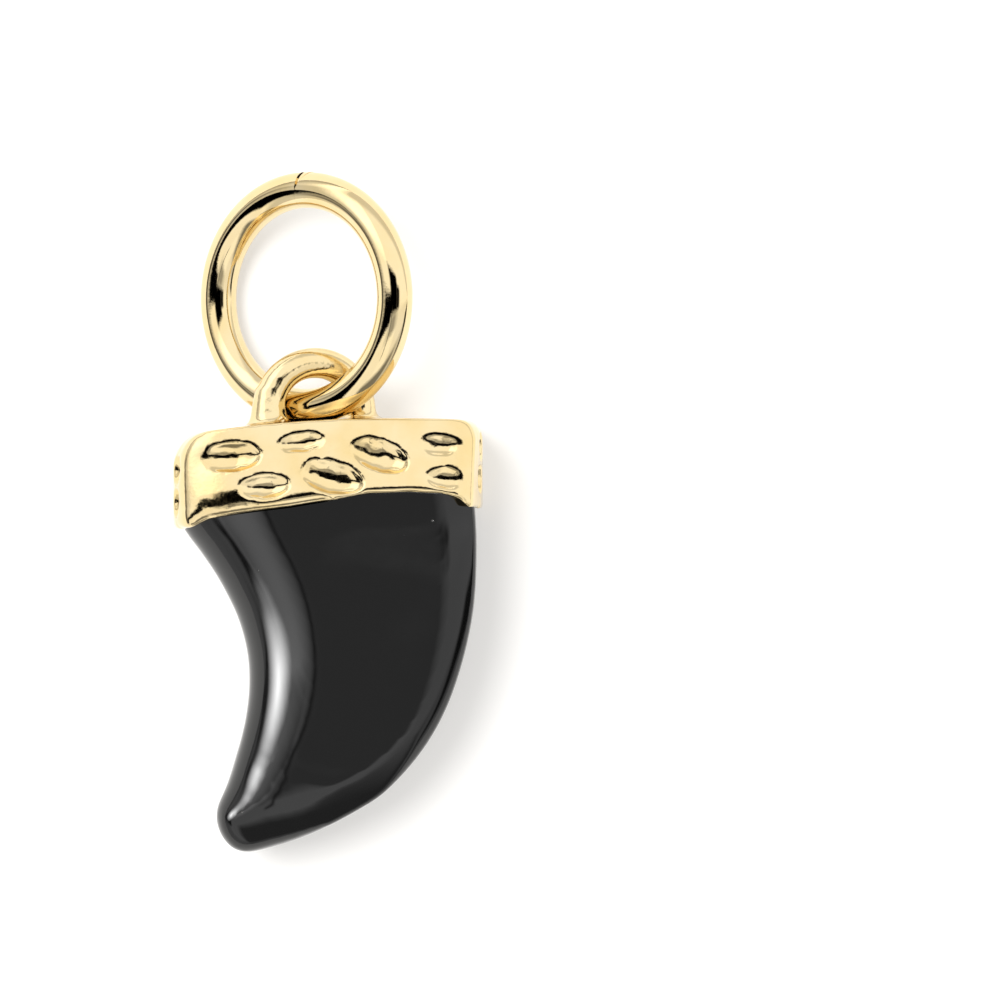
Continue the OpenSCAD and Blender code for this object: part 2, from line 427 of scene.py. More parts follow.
bpy.ops.object.mode_set(mode="EDIT")
for part in LEVELS:
    bpy.ops.mesh.select_all(action="SELECT")
    bpy.ops.mesh.bisect(plane_co=(0, 0, part * THICK), plane_no=(0, 0, 1))
bpy.ops.object.mode_set(mode="OBJECT")
for x in sorted({round(v.co.x, 3) for v in cap.data.vertices}):
    if roll_of_face(x) > LEAST_ROLL:
        pick(cap, lambda p: abs(p.x - x) < SAME_X and p.z > ROLL_FROM)
        squeeze_to_level(x, roll_of_face(x))
pick(cap, lambda p: p.z > ROLL_FROM and p.y > SLAB_MIDDLE)
squeeze_to_level(0, FACE_SLOPE)
bpy.ops.object.mode_set(mode="OBJECT")
print("roll at the two ends:", round(roll_of_face(-CAP_HALF), 2), round(roll_of_face(CAP_HALF), 2), "mm")

# %% [markdown]
# Seen from its end the cap is rounded, and its sides bulge. The levels are taken one after another, and
# the ends of each are moved in, the most at the front and the back.

# %% Round the sides
BULGE_FROM = 3.3
LEFT_BULGE = 0.52
RIGHT_BULGE = 0.36
STEPS_ACROSS = 24
# A limit is moved by this much, so that vertices right on it count.
HAIR = 1e-4

for i in range(STEPS_ACROSS):
    low_z = THICK * i / STEPS_ACROSS - HAIR
    high_z = THICK * (i + 1) / STEPS_ACROSS
    if i + 1 == STEPS_ACROSS:
        high_z += HAIR
    fall = (2 * (i + 0.5) / STEPS_ACROSS - 1) ** 2
    for side, bulge in ((-1, LEFT_BULGE), (1, RIGHT_BULGE)):
        if pick(cap, lambda p: low_z <= p.z < high_z and side * p.x > BULGE_FROM):
            share = 1 - bulge * fall / (CAP_HALF - BULGE_FROM)
            bpy.ops.transform.resize(
                value=(share, 1, 1), center_override=(side * BULGE_FROM, 0, 0)
            )
bpy.ops.object.mode_set(mode="OBJECT")
tidy_mesh(cap)
print("cap:", [round(v, 3) for v in cap.dimensions])

# %% [markdown]
# ## Dimples
# The face is hammered: each mark is a shallow hollow, as the side of a ball would press it. They could be
# sculpted with a brush, but a tool has an exact place and depth. So each mark's tool is a sphere,
# stretched to the mark's length and width and sunk to its depth. The tools are made uneven first, which
# leaves the ragged floors that break up the reflections.

# %% A tool that presses one dimple
# How far the ball's middle is above the face, as a part of the dimple's depth.
MIDDLE_ABOVE = 0.55
DENT_STRENGTH = 0.075

dent_noise = clouds("dent noise", 0.28)


def press_tool(place, length, width, depth, turn, seed_shift):
    """An uneven, stretched ball that goes depth below the face at place. Each shift gives other dents."""
    above = MIDDLE_ABOVE * depth
    cut = math.sqrt(1 - (above / (above + depth)) ** 2)
    deselect()
    bpy.ops.mesh.primitive_uv_sphere_add(segments=48, ring_count=32, radius=1)
    tool = bpy.context.object
    tool.scale = (length / 2 / cut, width / 2 / cut, above + depth)
    apply_place(tool)
    tool.location = (seed_shift, 0, 0)
    apply_place(tool)
    roughen(tool, dent_noise, DENT_STRENGTH)
    tool.location = (-seed_shift, 0, 0)
    apply_place(tool)
    tool.location = (0, 0, above)
    apply_place(tool)
    tool.rotation_euler = turn
    tool.location = place
    apply_place(tool)
    return tool


def joined(tools):
    """Joins several tools to one, so that they cut at one go."""
    select_only(*tools)
    bpy.ops.object.join()
    return bpy.context.object


print("dents in a tool, size in mm:", round(dent_noise.noise_scale, 2))

# %% Press the face
# Dimples on the front, and the same again on the back: x, y, length, width, tilt, depth.
FACE_DIMPLES = [
    (-2.80, 1.54, 1.90, 0.84, 3, 0.20),
    (-0.70, 1.94, 1.34, 0.56, 8, 0.15),
    (-1.73, 0.72, 1.40, 0.64, 3, 0.16),
    (0.09, 1.01, 1.78, 0.90, -17, 0.20),
    (1.39, 1.63, 1.76, 0.90, -22, 0.21),
    (3.12, 1.89, 1.22, 0.60, -5, 0.13),
    (3.33, 0.96, 1.20, 0.64, -5, 0.13),
]
SEED_STEP = 3.1
BACK_SEED = 40

tools = []
for n, (x, y, length, width, tilt, depth) in enumerate(FACE_DIMPLES):
    slope = FACE_SLOPE * (y - edge_of_cap(x)) / (top_of_cap(x) - edge_of_cap(x))
    front = (x, y, THICK - (slope + roll_of_face(x)))
    turn = math.radians(tilt)
    seed = SEED_STEP * n
    tools.append(press_tool(front, length, width, depth, (0, 0, turn), seed))
    tools.append(press_tool((x, y, 0), length, width, depth, (math.pi, 0, turn), seed + BACK_SEED))
cut_away(cap, joined(tools))
print("faces of the hammered cap:", len(cap.data.polygons))

# %% [markdown]
# The two ends are hammered too. Their tools are made now, and press the cap when its loop is on. Each
# leans with the rounded end that it meets.

# %% Tools for the two ends
# Dimples on the ends: x, y, z, width.
SIDE_DIMPLES = [
    (-4.18, 1.16, 3.20, 0.82),
    (-4.16, 0.26, 3.20, 0.76),
    (-4.25, 0.72, 1.35, 0.85),
    (4.22, 1.80, 2.95, 0.78),
    (4.18, 0.92, 3.15, 0.74),
    (4.25, 1.35, 1.35, 0.85),
]
SIDE_DEPTH = 0.24
LEAN_PER_MM = 20
SIDE_SEED = 70
SIDE_SEED_STEP = 2.3

side_tools = []
for n, (x, y, z, width) in enumerate(SIDE_DIMPLES):
    side = 1 if x > 0 else -1
    turn = (0, side * math.radians(90 - LEAN_PER_MM * (z - THICK / 2)), 0)
    seed = SIDE_SEED_STEP * n + SIDE_SEED
    side_tools.append(press_tool((x, y, z), width, width, SIDE_DEPTH, turn, seed))
side_tools = joined(side_tools)
print("faces of the end tools:", len(side_tools.data.polygons))

# %% [markdown]
# ## Loop
# The loop is cast in one with the cap. It is a torus whose lower part is sunk in the cap's top, and a
# short cone flares each leg where it flows into the cap. A union of the parts would leave hard seams, so
# all is remeshed into one even skin, which can be smoothed as metal is polished.

# %% Sink the loop into the cap
LOOP_R = 1.33
LOOP_WIRE_R = 0.43
LOOP_CENTRE = (-0.36, 2.796, 2.389)
LOOP_TWIST = 17
# The cones at its feet: side, radius at the cap, radius at the leg, length.
FEET = [(-1, 0.60, 0.38, 1.25), (1, 0.58, 0.38, 0.8)]
FEET_FROM = 2.2
VOXEL = 0.05

deselect()
bpy.ops.mesh.primitive_torus_add(
    major_segments=96, minor_segments=36, major_radius=LOOP_R, minor_radius=LOOP_WIRE_R,
    location=LOOP_CENTRE, rotation=(0, math.radians(LOOP_TWIST), 0),
)
loop = bpy.context.object
apply_place(loop)

feet = []
for side, cap_radius, leg_radius, length in FEET:
    deselect()
    turn = math.radians(LOOP_TWIST)
    foot_x = LOOP_CENTRE[0] + side * LOOP_R * math.cos(turn)
    foot_z = LOOP_CENTRE[2] - side * LOOP_R * math.sin(turn)
    bpy.ops.mesh.primitive_cone_add(
        vertices=48, radius1=cap_radius, radius2=leg_radius, depth=length,
        location=(foot_x, FEET_FROM + length / 2, foot_z), rotation=(-math.pi / 2, 0, 0),
    )
    feet.append(bpy.context.object)
    apply_place(bpy.context.object)

select_only(cap, loop, *feet)
bpy.ops.object.join()
cap = bpy.context.object
modify(cap, "REMESH", mode="VOXEL", voxel_size=VOXEL, adaptivity=0)
print("faces of the skin:", len(cap.data.polygons))

# %% [markdown]
# Polishing wears some places more than others: the feet of the loop, the two ends of the face and the
# lower lip. Smoothing the whole casting would blur the dimples too, so each place is picked by its box
# and relaxed on its own. At its lower left the face is also worn down towards the corner.

# %% Wear the casting
FAR = 99
# Where it is smoothed: x from and to, y from and to, z from and to, how often.
WORN_PLACES = [
    # The feet of the loop, and around them.
    (-2.3, 1.6, 2.3, 2.75, 1.0, 3.6, 30),
    (-2.66, 1.94, 2.2, 3.7, 0.8, 3.8, 16),
    # The left end of the face, more towards the outside.
    (-FAR, -3.2, -FAR, FAR, 3.0, FAR, 12),
    (-FAR, -3.4, -FAR, FAR, 3.2, FAR, 36),
    # The right end of the face.
    (3.66, FAR, -FAR, FAR, 3.3, FAR, 16),
]
# The lower lip on the left: its box, its height above the cap's lower edge, and how often.
LIP_BOX = (-FAR, -0.3, -FAR, FAR, 3.9, FAR)
LIP_HEIGHT = 0.35
LIP_TIMES = 8
# The worn corner of the face: its box and height, how far it falls and how far that reaches.
CORNER_BOX = (-3.3, -2.3, -FAR, FAR, 4.2, FAR)
CORNER_HEIGHT = 0.15
CORNER_FALL = 0.07
CORNER_REACH = 0.55


def smooth_where(o, test, times):
    """Relaxes the vertices that pass a test."""
    select_only(o)
    pick(o, test)
    bpy.ops.mesh.vertices_smooth(factor=0.5, repeat=times)
    bpy.ops.object.mode_set(mode="OBJECT")


def in_box(p, x_from, x_to, y_from, y_to, z_from, z_to):
    """Whether a point is between these sides."""
    return x_from < p.x < x_to and y_from < p.y < y_to and z_from < p.z < z_to


def above_edge(p, height):
    """Whether a point is less than that height above the cap's lower edge."""
    return p.y < edge_of_cap(p.x) + height


for *box, times in WORN_PLACES:
    smooth_where(cap, lambda p: in_box(p, *box), times)
smooth_where(cap, lambda p: above_edge(p, LIP_HEIGHT) and in_box(p, *LIP_BOX), LIP_TIMES)
worn = pick(cap, lambda p: above_edge(p, CORNER_HEIGHT) and in_box(p, *CORNER_BOX))
pull((0, 0, -CORNER_FALL), CORNER_REACH)
bpy.ops.object.mode_set(mode="OBJECT")
print("vertices worn down at the corner:", worn)

# %% [markdown]
# The jump ring's lowest point gets its room from a groove with the ring's own shape, a little thicker.
# After the last cuts the casting is remeshed once more, smoothed, and dented a little by a slow noise,
# because a cast and polished surface is never quite even.

# %% Groove, end dimples and surface
GROOVE_ROOM = 0.06
CAST_WAVES = 1.6
CAST_STRENGTH = 0.012
CAST_MID_LEVEL = 0.9

deselect()
bpy.ops.mesh.primitive_torus_add(
    major_segments=120, minor_segments=36, major_radius=RING_R, minor_radius=RING_WIRE_R + GROOVE_ROOM,
    location=RING_CENTRE, rotation=(0, math.radians(RING_LEAN), 0),
)
groove = bpy.context.object
apply_place(groove)
for tool in (groove, side_tools):
    cut_away(cap, tool)
modify(cap, "REMESH", mode="VOXEL", voxel_size=VOXEL, adaptivity=0)
modify(cap, "SMOOTH", factor=0.5, iterations=3)
roughen(cap, clouds("cast surface", CAST_WAVES, 1), CAST_STRENGTH, CAST_MID_LEVEL)
finish_piece(cap, "hammered_cap", "root", "cap_casting", smooth_angle=180)

# %% [markdown]
# ## Claw
# The enamelled claw is a curved horn that gets narrower to its tip. It could be a curve with a bevel
# profile, but its section changes as it goes. So one section is extruded again and again down the claw.
# The table says where each row's left and right sides are, and how high its back and front.

# %% Rows down the claw
# Left x, y, right x, y, and the heights of back and front as parts of THICK.
CLAW_ROWS = [
    (-4.62, 0.62, 3.95, 2.10, 0.00, 0.990),
    (-4.40, 0.22, 4.02, 1.00, 0.00, 0.972),
    (-3.92, -0.58, 4.09, -0.12, 0.00, 0.945),
    (-3.58, -1.02, 4.12, -0.80, 0.00, 0.933),
    (-3.12, -1.68, 4.11, -1.60, 0.00, 0.918),
    (-2.76, -2.33, 4.06, -2.42, 0.00, 0.901),
    (-2.46, -3.00, 3.92, -3.35, 0.00, 0.883),
    (-2.23, -3.88, 3.65, -4.42, 0.00, 0.861),
    (-2.18, -4.80, 3.25, -5.50, 0.01, 0.838),
    (-2.28, -5.68, 2.72, -6.44, 0.03, 0.812),
    (-2.45, -6.40, 2.10, -7.22, 0.06, 0.790),
    (-2.63, -6.98, 1.38, -7.92, 0.10, 0.775),
    (-2.79, -7.46, 0.55, -8.55, 0.14, 0.760),
    (-2.92, -7.86, -0.60, -9.09, 0.19, 0.745),
    (-3.04, -8.21, -1.72, -9.48, 0.24, 0.725),
]


def between(rows, s):
    """A row between the given ones, on a smooth curve through them all."""
    i = min(int(s), len(rows) - 2)
    f = s - i
    a, b, c, d = (rows[min(max(i + k, 0), len(rows) - 1)] for k in (-1, 0, 1, 2))
    return [
        0.5 * (2 * q + (r - p) * f + (2 * p - 5 * q + 4 * r - t) * f**2 + (3 * q - p - 3 * r + t) * f**3)
        for p, q, r, t in zip(a, b, c, d)
    ]


def claw_section(row, shrink=1.0, ahead=0.0):
    """Centre, half width, half height and turn of one section."""
    lx, ly, rx, ry, back, front = row
    back = max(back, 0)
    width = math.hypot(rx - lx, ry - ly)
    turn = math.atan2(ry - ly, rx - lx)
    half = width / 2
    centre = (
        (lx + rx) / 2 + ahead * half * math.sin(turn),
        (ly + ry) / 2 - ahead * half * math.cos(turn),
        (back + front) / 2 * THICK,
    )
    return centre, half * shrink, (front - back) / 2 * THICK * shrink, turn


print("rows in the table:", len(CLAW_ROWS))

# %% [markdown]
# The rows are filled up with smooth steps between them. Past the last row, a few sections follow a round
# dome: each is a little smaller and a little further on, from 31 to 86 degrees up the dome.

# %% Sections along the claw
STEPS = 32
TIP_STEPS = 5
TIP_START = 31
TIP_END = 86

last_row = len(CLAW_ROWS) - 1
sections = [claw_section(between(CLAW_ROWS, last_row * i / STEPS)) for i in range(STEPS + 1)]
for i in range(1, TIP_STEPS + 1):
    phi = math.radians(TIP_START + (TIP_END - TIP_START) * i / TIP_STEPS)
    start = math.radians(TIP_START)
    shrink = math.cos(phi) / math.cos(start)
    ahead = (math.sin(phi) - math.sin(start)) / math.cos(start)
    sections.append(claw_section(CLAW_ROWS[-1], shrink, ahead))
print("sections along the claw:", len(sections))

# %% [markdown]
# Enamel pulls back from sharp edges, so the section is soft all round, but not everywhere alike. It is
# drawn for a half width of 3.4 mm and stretched to each row. Its left corners are quarter circles that
# are stretched sideways, which makes them broad. The right ones turn gently to 42 degrees, run on a
# little as a soft chamfer and end in a tight corner.

# %% Outline of a section
SECTION_HALF_W = 3.4
SECTION_HALF_H = 2.1
LEFT_ROUND = 1.70
LEFT_STRETCH = 1.45
SHOULDER_ROUND = 1.25
SHOULDER_TURN = 42
CHAMFER = 0.22
TIGHT_ROUND = 0.16


def arc(cx, cz, r, start, end, steps):
    """Points on an arc, from one angle to another."""
    turns = [math.radians(start + (end - start) * i / steps) for i in range(steps + 1)]
    return [(cx + r * math.cos(a), cz + r * math.sin(a)) for a in turns]


def right_corner():
    """The upper right corner, from its tight end up to the flat front."""
    a = math.radians(90 - SHOULDER_TURN)
    tight_x = SECTION_HALF_W - TIGHT_ROUND
    run_x, run_z = -math.sin(a) * CHAMFER, math.cos(a) * CHAMFER
    shoulder_x = tight_x + TIGHT_ROUND * math.cos(a) + run_x - SHOULDER_ROUND * math.cos(a)
    shoulder_z = SECTION_HALF_H - SHOULDER_ROUND
    tight_z = shoulder_z + SHOULDER_ROUND * math.sin(a) - run_z - TIGHT_ROUND * math.sin(a)
    tight = arc(tight_x, tight_z, TIGHT_ROUND, 0, 90 - SHOULDER_TURN, 3)
    return tight + arc(shoulder_x, shoulder_z, SHOULDER_ROUND, 90 - SHOULDER_TURN, 90, 6)


left_x, left_z = -SECTION_HALF_W + LEFT_ROUND, SECTION_HALF_H - LEFT_ROUND


def broadened(x):
    """Stretches the left corners sideways and leaves the rest."""
    if x > left_x + 1e-6:
        return x
    return -SECTION_HALF_W + (x + SECTION_HALF_W) * LEFT_STRETCH


upper_right = right_corner()
outline = upper_right + arc(left_x, left_z, LEFT_ROUND, 90, 180, 9)
outline += arc(left_x, -left_z, LEFT_ROUND, 180, 270, 9) + [(x, -z) for x, z in reversed(upper_right)]
outline = [(broadened(x), z) for x, z in outline]
print("points of the outline:", len(outline))

# %% [markdown]
# A circle with as many vertices as the outline has points is a face that can be extruded. Its vertices
# are moved to the points one by one.

# %% Draw the first section
SAME_POINT = 1e-5

deselect()
bpy.ops.mesh.primitive_circle_add(
    vertices=len(outline), radius=1, fill_type="NGON", rotation=(math.pi / 2, 0, 0)
)
claw = bpy.context.object
apply_place(claw)
around = sorted(claw.data.vertices, key=lambda v: math.atan2(v.co.z, v.co.x) % (2 * math.pi))
moves = [(v.co.copy(), to) for v, to in zip(around, outline)]
for co, (x, z) in moves:
    pick(claw, lambda p: (p - co).length < SAME_POINT)
    bpy.ops.transform.translate(value=(x - co.x, 0, z - co.z))
bpy.ops.mesh.select_mode(type="FACE")
bpy.ops.mesh.select_all(action="SELECT")
print("vertices moved:", len(moves))

# %% [markdown]
# Each section is extruded from the last one, turned back, stretched to its size and turned to its row.
# In the last rows before the dome it is also drawn towards a circle with tosphere, so that the tip ends
# round and not with the section's corners.

# %% Extrude it down the claw
ROUND_FROM = 25
ROUND_SHARE = 1.6

centre, half_w, half_h, turn = (0, 0, 0), SECTION_HALF_W, SECTION_HALF_H, 0
from_middle = [math.hypot(x / SECTION_HALF_W, z / SECTION_HALF_H) for x, z in outline]
mean_radius = sum(from_middle) / len(outline)
for n, new in enumerate(sections):
    new_centre, new_w, new_h, new_turn = new
    move = [a - b for a, b in zip(new_centre, centre)]
    if n == 0:
        bpy.ops.transform.translate(value=move)
    else:
        bpy.ops.mesh.extrude_region_move(TRANSFORM_OT_translate={"value": move})
    bpy.ops.transform.rotate(value=turn, orient_axis="Z", center_override=new_centre)
    if ROUND_FROM < n <= STEPS:
        left_to_go = STEPS + 1 - n
        bpy.ops.transform.resize(value=(1 / half_w, 1, 1 / half_h), center_override=new_centre)
        more = min(1.0, ROUND_SHARE / left_to_go)
        bpy.ops.transform.tosphere(value=more)
        bpy.ops.transform.resize(value=(half_w, 1, half_h), center_override=new_centre)
        swell = 1 + (mean_radius - 1) * more
        half_w *= swell
        half_h *= swell
        mean_radius /= swell
    bpy.ops.transform.resize(value=(new_w / half_w, 1, new_h / half_h), center_override=new_centre)
    bpy.ops.transform.rotate(value=-new_turn, orient_axis="Z", center_override=new_centre)
    centre, half_w, half_h, turn = new
bpy.ops.object.mode_set(mode="OBJECT")
tidy_mesh(claw)
modify(claw, "SUBSURF", levels=2)
print("claw:", [round(v, 3) for v in claw.dimensions])

# %% [markdown]
# Across its lower right the enamel turns down along a soft crease. A bevel can't make it, because there
# is no edge to bevel. So a block stands over the lower end, a large ball is cut out of it, and what is
# left of the block is cut off the claw: the claw keeps what lies inside the ball.

# %% Crease the lower right
CREASE_BALL_R = 14.6
CREASE_BALL_CENTRE = (-1.63, -1.27, -9.55)
CREASE_BLOCK_PLACE = (0, -8.9, 4)
CREASE_BLOCK_SIZE = (12, 7, 5)

deselect()
bpy.ops.mesh.primitive_uv_sphere_add(
    segments=512, ring_count=256, radius=CREASE_BALL_R, location=CREASE_BALL_CENTRE
)
ball = bpy.context.object
deselect()
bpy.ops.mesh.primitive_cube_add(size=1, location=CREASE_BLOCK_PLACE)
block = bpy.context.object
block.scale = CREASE_BLOCK_SIZE
apply_place(ball)
apply_place(block)
cut_away(block, ball)
cut_away(claw, block)
print("faces of the creased claw:", len(claw.data.polygons))

# %% [markdown]
# The tip of poured enamel is a soft drop. The claw is remeshed, and relaxed in one ball within another
# around the tip, so that the very end gets the most and there is no step where it begins. Smoothing
# makes the tip a little shorter, so it is pulled back to its full reach.

# %% Round the tip
CLAW_VOXEL = 0.06
TIP_AT = mathutils.Vector((-2.3, -8.5, 2.2))
TIP_REACHES = (2.4, 2.1, 1.8, 1.5, 1.2)
TIP_TIMES = 25
TIP_PULL_BELOW = -9.1
TIP_PULL = 0.09
TIP_PULL_REACH = 2.5

modify(claw, "REMESH", mode="VOXEL", voxel_size=CLAW_VOXEL, adaptivity=0)
for reach in TIP_REACHES:
    smooth_where(claw, lambda p: (p - TIP_AT).length < reach, TIP_TIMES)
modify(claw, "SMOOTH", factor=0.5, iterations=16)
pick(claw, lambda p: p.y < TIP_PULL_BELOW)
pull((0, -TIP_PULL, 0), TIP_PULL_REACH)
bpy.ops.object.mode_set(mode="OBJECT")
print("lowest point of the tip:", round(min(v.co.y for v in claw.data.vertices), 3))

# %% [markdown]
# A slow noise makes the surface as uneven as fired enamel is. The sliced slab of the cap, larger on all
# sides but the lower one, then cuts off the upper end, so that the enamel meets the cap's wavy edge.

# %% Surface and upper end
ENAMEL_WAVES = 2.6
ENAMEL_STRENGTH = 0.02
CUTTER_GROW = 0.6
CUT_MERGE = 1e-4

roughen(claw, clouds("enamel flow", ENAMEL_WAVES, 1), ENAMEL_STRENGTH)
cut_away(claw, slab("cutter", drop=EDGE_DROP, grow=CUTTER_GROW))
tidy_mesh(claw, CUT_MERGE)
finish_piece(claw, "enamelled_claw", "root", "enamel_fang", smooth_angle=40)

# %% [markdown]
# ## Materials
# Colours are written as sRGB hex values, as a colour picker shows them, and one function turns them into
# the linear ones that Blender reckons with. Another adds a node with its settings, numbers and links.

# %% Helpers for materials
# The two colour inputs of a mix node and its colour output.
COLOUR_A = 6
COLOUR_B = 7
COLOUR_OUT = 2
# Most values of a noise texture lie between these.
NOISE_LOW = 0.35
NOISE_HIGH = 0.7


def linear(hex_colour):
    """A linear colour from an sRGB hex value."""
    values = []
    for i in (0, 2, 4):
        c = int(hex_colour[i : i + 2], 16) / 255
        values.append(c / 12.92 if c <= 0.04045 else ((c + 0.055) / 1.055) ** 2.4)
    return (*values, 1)


def node(tree, kind, inputs=None, **settings):
    """Adds a node. An input is given a number, a colour or another node's output."""
    n = tree.nodes.new(kind)
    for key, value in settings.items():
        setattr(n, key, value)
    for key, value in (inputs or {}).items():
        if isinstance(value, bpy.types.NodeSocket):
            tree.links.new(value, n.inputs[key])
        else:
            n.inputs[key].default_value = value
    return n


def new_material(name):
    """An empty material and its node tree."""
    m = bpy.data.materials.new(name)
    m.use_nodes = True
    m.node_tree.nodes.clear()
    return m, m.node_tree


def place_in_mm(tree):
    """A point's place on the piece, in millimetres."""
    place = node(tree, "ShaderNodeTexCoord").outputs["Object"]
    return node(tree, "ShaderNodeVectorMath", {0: place, "Scale": 1000.0}, operation="SCALE").outputs[0]


print("mid grey 808080 is linear", round(linear("808080")[0], 3))

# %% [markdown]
# Gold plating on polished brass is a mirror: the eye sees the bright and dark parts of the room in a pale
# yellow, and hardly any colour of its own. The casting keeps a faint grain, and its tone and polish vary
# a little from place to place. The drawn wire of the ring is smoother and more sharply bright.

# %% Polished gold plating
# Patches of tone are about 1.1 mm across and grains about 0.11 mm. The grain's height is in metres.
PATCHES_PER_MM = 0.9
GRAINS_PER_MM = 9.0
GRAIN_HEIGHT = 0.00003


def gold_plating(name, pale, deep, least_rough, most_rough, grain):
    """A gold mirror whose tone, polish and surface vary a little."""
    m, tree = new_material(name)
    place = place_in_mm(tree)
    patches = node(tree, "ShaderNodeTexNoise", {"Vector": place, "Scale": PATCHES_PER_MM, "Detail": 3.0})
    grains = node(tree, "ShaderNodeTexNoise", {"Vector": place, "Scale": GRAINS_PER_MM, "Detail": 5.0})
    tone = node(
        tree, "ShaderNodeMapRange",
        {"Value": patches.outputs["Fac"], "From Min": NOISE_LOW, "From Max": NOISE_HIGH},
    )
    colour = node(
        tree, "ShaderNodeMix",
        {"Factor": tone.outputs["Result"], COLOUR_A: linear(pale), COLOUR_B: linear(deep)},
        data_type="RGBA",
    )
    rough = node(
        tree, "ShaderNodeMapRange",
        {
            "Value": grains.outputs["Fac"], "From Min": NOISE_LOW, "From Max": NOISE_HIGH,
            "To Min": least_rough, "To Max": most_rough,
        },
    )
    bump = node(
        tree, "ShaderNodeBump",
        {"Height": grains.outputs["Fac"], "Strength": grain, "Distance": GRAIN_HEIGHT},
    )
    shader = node(
        tree, "ShaderNodeBsdfPrincipled",
        {
            "Base Color": colour.outputs[COLOUR_OUT], "Roughness": rough.outputs["Result"],
            "Normal": bump.outputs["Normal"], "Metallic": 1.0,
        },
    )
    node(tree, "ShaderNodeOutputMaterial", {"Surface": shader.outputs[0]})
    return m


gold_cast = gold_plating("polished gold plating on cast brass", "e8d4a8", "e4cb94", 0.06, 0.13, 0.10)
gold_wire = gold_plating("polished gold plating on drawn wire", "e8d4a8", "e5ce9a", 0.03, 0.06, 0.03)
print("gold:", gold_cast.name, "and", gold_wire.name)

# %% [markdown]
# Hard enamel is a black glass. To the eye it has almost no colour of its own and a sharp gloss, and a few
# specks of dust that were caught in it show as tiny grey pits.

# %% Glossy black enamel
# Waves of polish are about 0.5 mm across and specks about 0.9 mm apart. The pits' depth is in metres.
WAVES_PER_MM = 2.0
SPECKS_PER_MM = 1.1
SPECK_INSIDE = 0.02
SPECK_OUTSIDE = 0.045
PIT_DEPTH = 0.00004
PIT_STRENGTH = 0.6
LEAST_ROUGH = 0.05
MOST_ROUGH = 0.10

enamel, tree = new_material("glossy black enamel")
place = place_in_mm(tree)
waves = node(tree, "ShaderNodeTexNoise", {"Vector": place, "Scale": WAVES_PER_MM, "Detail": 4.0})
rough = node(
    tree, "ShaderNodeMapRange",
    {
        "Value": waves.outputs["Fac"], "From Min": NOISE_LOW, "From Max": NOISE_HIGH,
        "To Min": LEAST_ROUGH, "To Max": MOST_ROUGH,
    },
)
dust = node(tree, "ShaderNodeTexVoronoi", {"Vector": place, "Scale": SPECKS_PER_MM})
speck = node(
    tree, "ShaderNodeMapRange",
    {
        "Value": dust.outputs["Distance"], "From Min": SPECK_INSIDE, "From Max": SPECK_OUTSIDE,
        "To Min": 1.0, "To Max": 0.0,
    },
).outputs["Result"]
pits = node(
    tree, "ShaderNodeBump", {"Height": speck, "Strength": PIT_STRENGTH, "Distance": PIT_DEPTH},
    invert=True,
)
colour = node(
    tree, "ShaderNodeMix",
    {"Factor": speck, COLOUR_A: linear("090909"), COLOUR_B: linear("4a4846")},
    data_type="RGBA",
)
shader = node(
    tree, "ShaderNodeBsdfPrincipled",
    {
        "Base Color": colour.outputs[COLOUR_OUT], "Roughness": rough.outputs["Result"],
        "Normal": pits.outputs["Normal"], "IOR": 1.5,
    },
)
node(tree, "ShaderNodeOutputMaterial", {"Surface": shader.outputs[0]})
print("enamel:", enamel.name)

# %% [markdown]
# The paper under the pendant is matt and lit through from below. To the eye it is an even, almost pure
# white, and shadows on it are pale and soft. A plain white would take on the shadows in full, so a
# greyer white that glows a little is used.

# %% White paper
paper, tree = new_material("white paper on a light table")
shader = node(
    tree, "ShaderNodeBsdfPrincipled",
    {
        "Base Color": linear("b4b3b1"), "Roughness": 0.8,
        "Emission Color": linear("fffdfa"), "Emission Strength": 0.46,
    },
)
node(tree, "ShaderNodeOutputMaterial", {"Surface": shader.outputs[0]})

for o, m in ((cap, gold_cast), (ring, gold_wire), (claw, enamel)):
    o.data.materials.clear()
    o.data.materials.append(m)
    print(o.name, "gets", m.name)

# %% [markdown]
# ## Floor
# The paper is a plain sheet, far larger than the view and just below the pendant, so that the two don't
# share a face.

# %% Lay the paper
FLOOR_SIZE = 1.2
FLOOR_Z = -0.00002

deselect()
bpy.ops.mesh.primitive_plane_add(size=FLOOR_SIZE, location=(0, 0, FLOOR_Z))
floor = bpy.context.object
floor.name = "floor"
floor.data.materials.append(paper)
print("floor:", [round(v, 2) for v in floor.dimensions])

# %% [markdown]
# ## Sky
# Polished gold shows the room that it is in, so the room is most of its look. It could be built of lamps
# and white boards, but those throw light and shadow too. Here it is drawn on the sky: how bright it is in
# each direction. The table is a list of soft-edged rectangles, and a later one covers the earlier ones.
# A place on the sky is given by two angles from straight above, one across and one along the pendant.

# %% Angles on the sky
world = bpy.data.worlds.new("studio")
bpy.context.scene.world = world
world.use_nodes = True
sky = world.node_tree
sky.nodes.clear()
direction = node(sky, "ShaderNodeTexCoord").outputs["Generated"]
parts = node(sky, "ShaderNodeSeparateXYZ", {"Vector": direction})


def degrees_from_zenith(axis):
    """The angle from straight above towards an axis."""
    angle = node(
        sky, "ShaderNodeMath", {0: parts.outputs[axis], 1: parts.outputs["Z"]}, operation="ARCTAN2"
    )
    degrees = node(sky, "ShaderNodeMath", {0: angle.outputs[0], 1: 180 / math.pi}, operation="MULTIPLY")
    return degrees.outputs[0]


across = degrees_from_zenith("X")
along = degrees_from_zenith("Y")
print("nodes for the angles:", len(sky.nodes))

